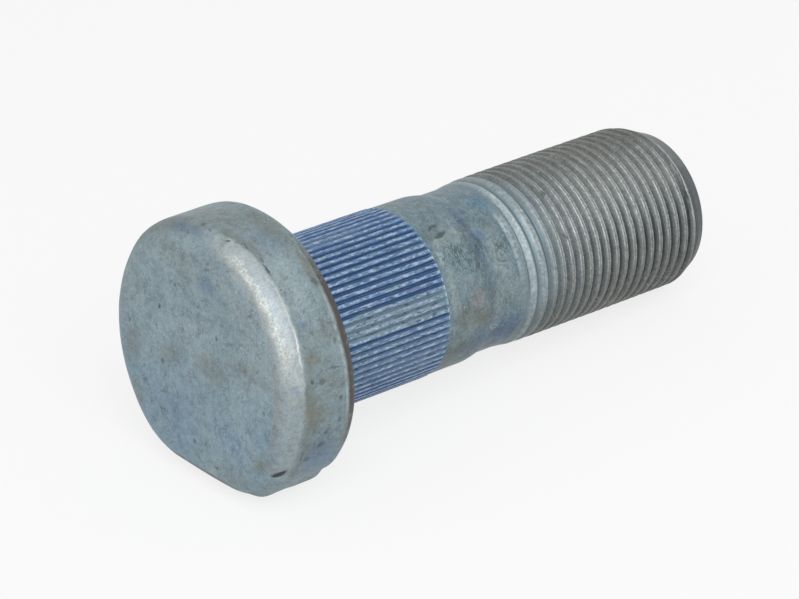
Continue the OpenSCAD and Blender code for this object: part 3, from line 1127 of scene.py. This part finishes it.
def makeShankFinish(dip, middle):
    finish = Finish("blue zinc on the shank", shankFinish, dip, middle)
    along, turn = finish.along, finish.turn
    spots = shankMarks(finish)
    around = finish.stretched(1.6, 0.8)
    plain = Paint(finish, finish.clouds(2.6, 0.35, 0.65, 2), "zinc", "paleZinc")
    cool = times(ease(turn, 88, 58), ease(turn, -175, -110))
    plain.lay(cool, "teal", 0.2)
    for shade in ("olive", "pink", "pale", "teal", "blue"):
        plain.lay(spots(shade + "s", 0.7), shade)
    # where the shoulder turns into the slope
    waved = scaled(finish.clouds(1.6, 0.2, 0.8, 10), 0.5, minus(along, 0.25))
    waved = minus(waved, ease(turn, 44, 70, 0, 0.4))
    plain.lay(ease(along, 20.8, 20.1), "teal", 0.4)
    # painted shade on the slope, which faces away from the light
    slopeShade = times(ease(waved, 25.8, 26.4), ease(waved, 27.7, 26.7), ease(turn, 12, 26),
                   ease(turn, 70, 54, 0.45, 1.0), ease(turn, 112, 96))
    plain.lay(slopeShade, "slopeShade", 0.65)
    ledge = times(band(waved, 25.4, 26.0, 0.3), band(turn, 36, 78, 8))
    plain.lay(ledge, "dark", 0.55)
    # curled flecks
    curls = most(finish.hairs(2.0, 0.06, 5, 1.0, around), finish.hairs(1.1, 0.055, 7, 1.0, around))
    broken = finish.clouds(0.9, 0.32, 0.46, 4)
    flecks = times(curls, broken, most(spots("flecked", 0.6), 0.4))
    plain.lay(flecks, "curl", 0.85)
    glints = times(finish.hairs(0.8, 0.03, 6, 1.2, around), finish.clouds(1.2, 0.44, 0.6, 42))
    plain.lay(glints, "pale", 0.55)
    plain.speckle(0.26, 0.83, 1.13, 8)
    plain.speckle(1.0, 0.91, 1.09, 9)
    # the first ridges, still blue, with a pale rough strip before them
    helical = alongTurns(finish)
    plain.lay(spots("scratches", 0.3), "ridge")
    strip = times(band(helical, 31.7, 32.65, 0.2), band(turn, 28, 76, 8))
    strip = times(strip, finish.clouds(0.6, 0.3, 0.5, 44))
    # the strip is paler in its middle on the side towards the lamp, a painted highlight
    roughZinc = Paint(finish, band(turn, 32, 50, 6), "ridge", "ridgeHighlight")
    plain.lay(strip, roughZinc, 0.8)
    share = ease(finish.radius, 10.45, 10.84)
    frayed = scaled(finish.clouds(0.5, 0.2, 0.8, 19, 3.0), 1.2, minus(along, 0.6))
    ridged = ease(frayed, 31.8, 33.2)
    # the ridges carry a painted highlight on the side towards the lamp
    bright = Paint(finish, band(turn, 10, 70, 12), "ridge", "ridgeHighlight")
    later = times(ease(helical, 33.9, 34.5), band(turn, -60, 130, 30))
    bright.lay(later, "dullRidge")
    # painted shade towards the underside
    lower = scaled(band(turn, 94, 150, 10), -0.16, 1.0)
    bright.shade(lower)
    bright.speckle(0.35, 0.74, 1.2, 28)
    bright.speckle(0.7, 0.86, 1.12, 45)
    faint = Paint(finish, share, "zinc", bright)
    # painted shade in the narrow grooves between the ridges, and a ragged painted highlight along
    # each one's far edge
    phase = threadPhase(finish)
    sharpLipHighlight = times(band(phase, 0.74, 0.84, 0.05), band(turn, 20, 96, 12),
                     finish.clouds(0.6, 0.3, 0.44, 40), ease(along, 34.2, 34.8))
    faint.lay(sharpLipHighlight, "lipHighlightAndScratch", 0.85)
    grooveShade = times(ease(calc("ABSOLUTE", minus(phase, 0.5)), 0.42, 0.48), band(turn, -20, 100, 14),
                    ease(along, 33.0, 33.6))
    faint.lay(grooveShade, "ridgeGap", 0.6)
    plain.lay(ridged, faint)
    foot = times(band(helical, 32.85, 33.0, 0.08), band(turn, 20, 90, 10),
                 finish.clouds(0.3, 0.25, 0.45, 39))
    plain.lay(foot, "dark", 0.8)
    # painted shade towards the underside
    under = scaled(band(turn, 108, 160, 8), -0.2, 1.0)
    plain.shade(under)
    later = times(ease(turn, -6, 22), ease(turn, 112, 92), 1.8)
    plain.lay(ease(minus(along, later), 33.4, 38.0), rolledSteel(finish, phase)[0])
    dents = spots("pits", 0.4)
    plain.lay(dents, "dark")
    return finishShank(finish, plain, dents)


def makeThreadFinish(dip, middle):
    finish = Finish("rubbed steel on the thread", shankFinish, dip, middle)
    along, turn = finish.along, finish.turn
    spots = shankMarks(finish)
    paint, turned = rolledSteel(finish, threadPhase(finish))
    shade = scaled(spots("dullPatches", 0.7), -0.14, 1.0)
    shade = scaled(spots("brightPatches", 0.7), 0.12, shade)
    paint.shade(shade)
    # the chamfer, paler on its upper side and darker elsewhere as painted light and shade, with a
    # painted highlight on the last lip of the thread before it
    bevel = scaled(finish.clouds(1.2, 0.2, 0.8, 24), 0.3, minus(along, 0.15))
    chamferShade = most(ease(turned, 34, 50), ease(turned, -50, -90))
    chamfer = Paint(finish, chamferShade, "chamferTop", "chamferBase")
    chamfer.speckle(0.5, 0.85, 1.12, 34)
    paint.lay(ease(bevel, 61.75, 62.05), chamfer)
    seamLine = times(band(bevel, 61.1, 61.25, 0.06), band(turn, 24, 72, 8))
    paint.lay(seamLine, "groove", 0.8)
    lastLipHighlight = times(band(bevel, 61.42, 61.58, 0.07), band(turn, 18, 84, 5),
                    finish.clouds(0.5, 0.2, 0.45, 36))
    paint.lay(lastLipHighlight, "lipHighlightAndScratch", 0.75)
    # the end face: sheared steel under thin zinc, rubbed round its edge
    end = Paint(finish, finish.clouds(3.0, 0.25, 0.75, 71, 5.0), "endFace", "endStain")
    end.lay(band(finish.radius, 8.7, 9.6, 0.3), "flank", 0.5)
    scuffs = times(finish.hairs(1.4, 0.014, 72, 0.4), finish.clouds(1.6, 0.4, 0.6, 73))
    end.lay(scuffs, "lipHighlightAndScratch", 0.2)
    end.speckle(0.3, 0.84, 1.12, 74)
    end.speckle(1.1, 0.9, 1.1, 75)
    paint.lay(ease(along, 63.95, 64.05), end)
    return finishShank(finish, paint)


def paintBolt(whole, dip, middle):
    # faces go by where they are along the bolt, before it is laid down
    whole.data.materials.clear()
    for finish in (makeFaceFinish, makeRimFinish, makeKnurlFinish, makeShankFinish, makeThreadFinish):
        whole.data.materials.append(finish(dip, middle))
    # the coordinate where each finish after the first takes over
    borders = (-head["thickness"] + 0.06 * mm, 0.3 * mm, knurl["length"] - 0.02 * mm,
               thread["steelFrom"])
    for face in whole.data.polygons:
        height = sum(whole.data.vertices[i].co.z for i in face.vertices) / len(face.vertices)
        face.material_index = sum(height > border for border in borders)


dip, middle = lyingPlace()
paintBolt(bolt, dip, middle)
layDown(bolt, dip, middle)
selectOnly(bolt)
bpy.ops.object.shade_smooth_by_angle(angle=math.radians(50))
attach(bolt, "root")
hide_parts("wheel_bolt")
print("bolt finished with", len(bolt.data.materials), "materials")


# ---- floor, light and camera

floorPlan = dict(size=6, colour=(0.9, 0.9, 0.9, 1), glow=0.8)


def seenDirectly(tree):
    # 1 for what the camera sees itself, in a reflection or through something clear
    rays = node("LightPath", {}, tree)
    return most(most(rays["Is Camera Ray"], rays["Is Glossy Ray"]), rays["Is Transmission Ray"])


def makeFloor():
    deselectAll()
    bpy.ops.mesh.primitive_plane_add(size=floorPlan["size"])
    floor = bpy.context.object
    floor.name = "floor"
    paper = bpy.data.materials.new("white paper")
    paper.use_nodes = True
    tree = paper.node_tree
    shader = tree.nodes["Principled BSDF"]
    shader.inputs["Base Color"].default_value = floorPlan["colour"]
    shader.inputs["Roughness"].default_value = 0.9
    shader.inputs["Specular IOR Level"].default_value = 0.0
    glow = node("Emission", {"Strength": 1.0}, tree)[0]
    share = times(seenDirectly(tree), floorPlan["glow"])
    mixed = node("MixShader", {0: share, 1: shader.outputs[0], 2: glow})[0]
    link(mixed, tree.nodes["Material Output"].inputs["Surface"])
    floor.data.materials.append(paper)


def makeWorld(strength):
    world = bpy.data.worlds.new("white room")
    bpy.context.scene.world = world
    world.use_nodes = True
    tree = world.node_tree
    level = ease(seenDirectly(tree), 0, 1, strength, 1.0)
    background = tree.nodes["Background"]
    background.inputs["Color"].default_value = (1, 1, 1, 1)
    link(level, background.inputs["Strength"])


def softLamp(name, place, aim, size, power):
    deselectAll()
    bpy.ops.object.light_add(type="AREA", location=place)
    lamp = bpy.context.object
    lamp.name = name
    lamp.data.shape = "DISK"
    lamp.data.size = size
    lamp.data.energy = power
    lamp.rotation_euler = (Vector(aim) - Vector(place)).to_track_quat("-Z", "Y").to_euler()


makeFloor()
makeWorld(0.5)
softLamp("key light", (-0.23, -0.46, 0.54), (0, 0, 0.015), 0.6, 3)

view = dict(
    place=(-0.265228, -0.323120, 0.239704),
    turn=(61.2668, 2.6745, -40.2476),
    lens=171.214,
)
bpy.ops.object.camera_add(
    location=view["place"], rotation=[math.radians(a) for a in view["turn"]])
camera = bpy.context.object
camera.data.sensor_width = 36
camera.data.lens = view["lens"]
camera.data.clip_start = 0.01
bpy.context.scene.camera = camera
bpy.context.scene.view_settings.view_transform = "Standard"
print("floor, light and camera placed")
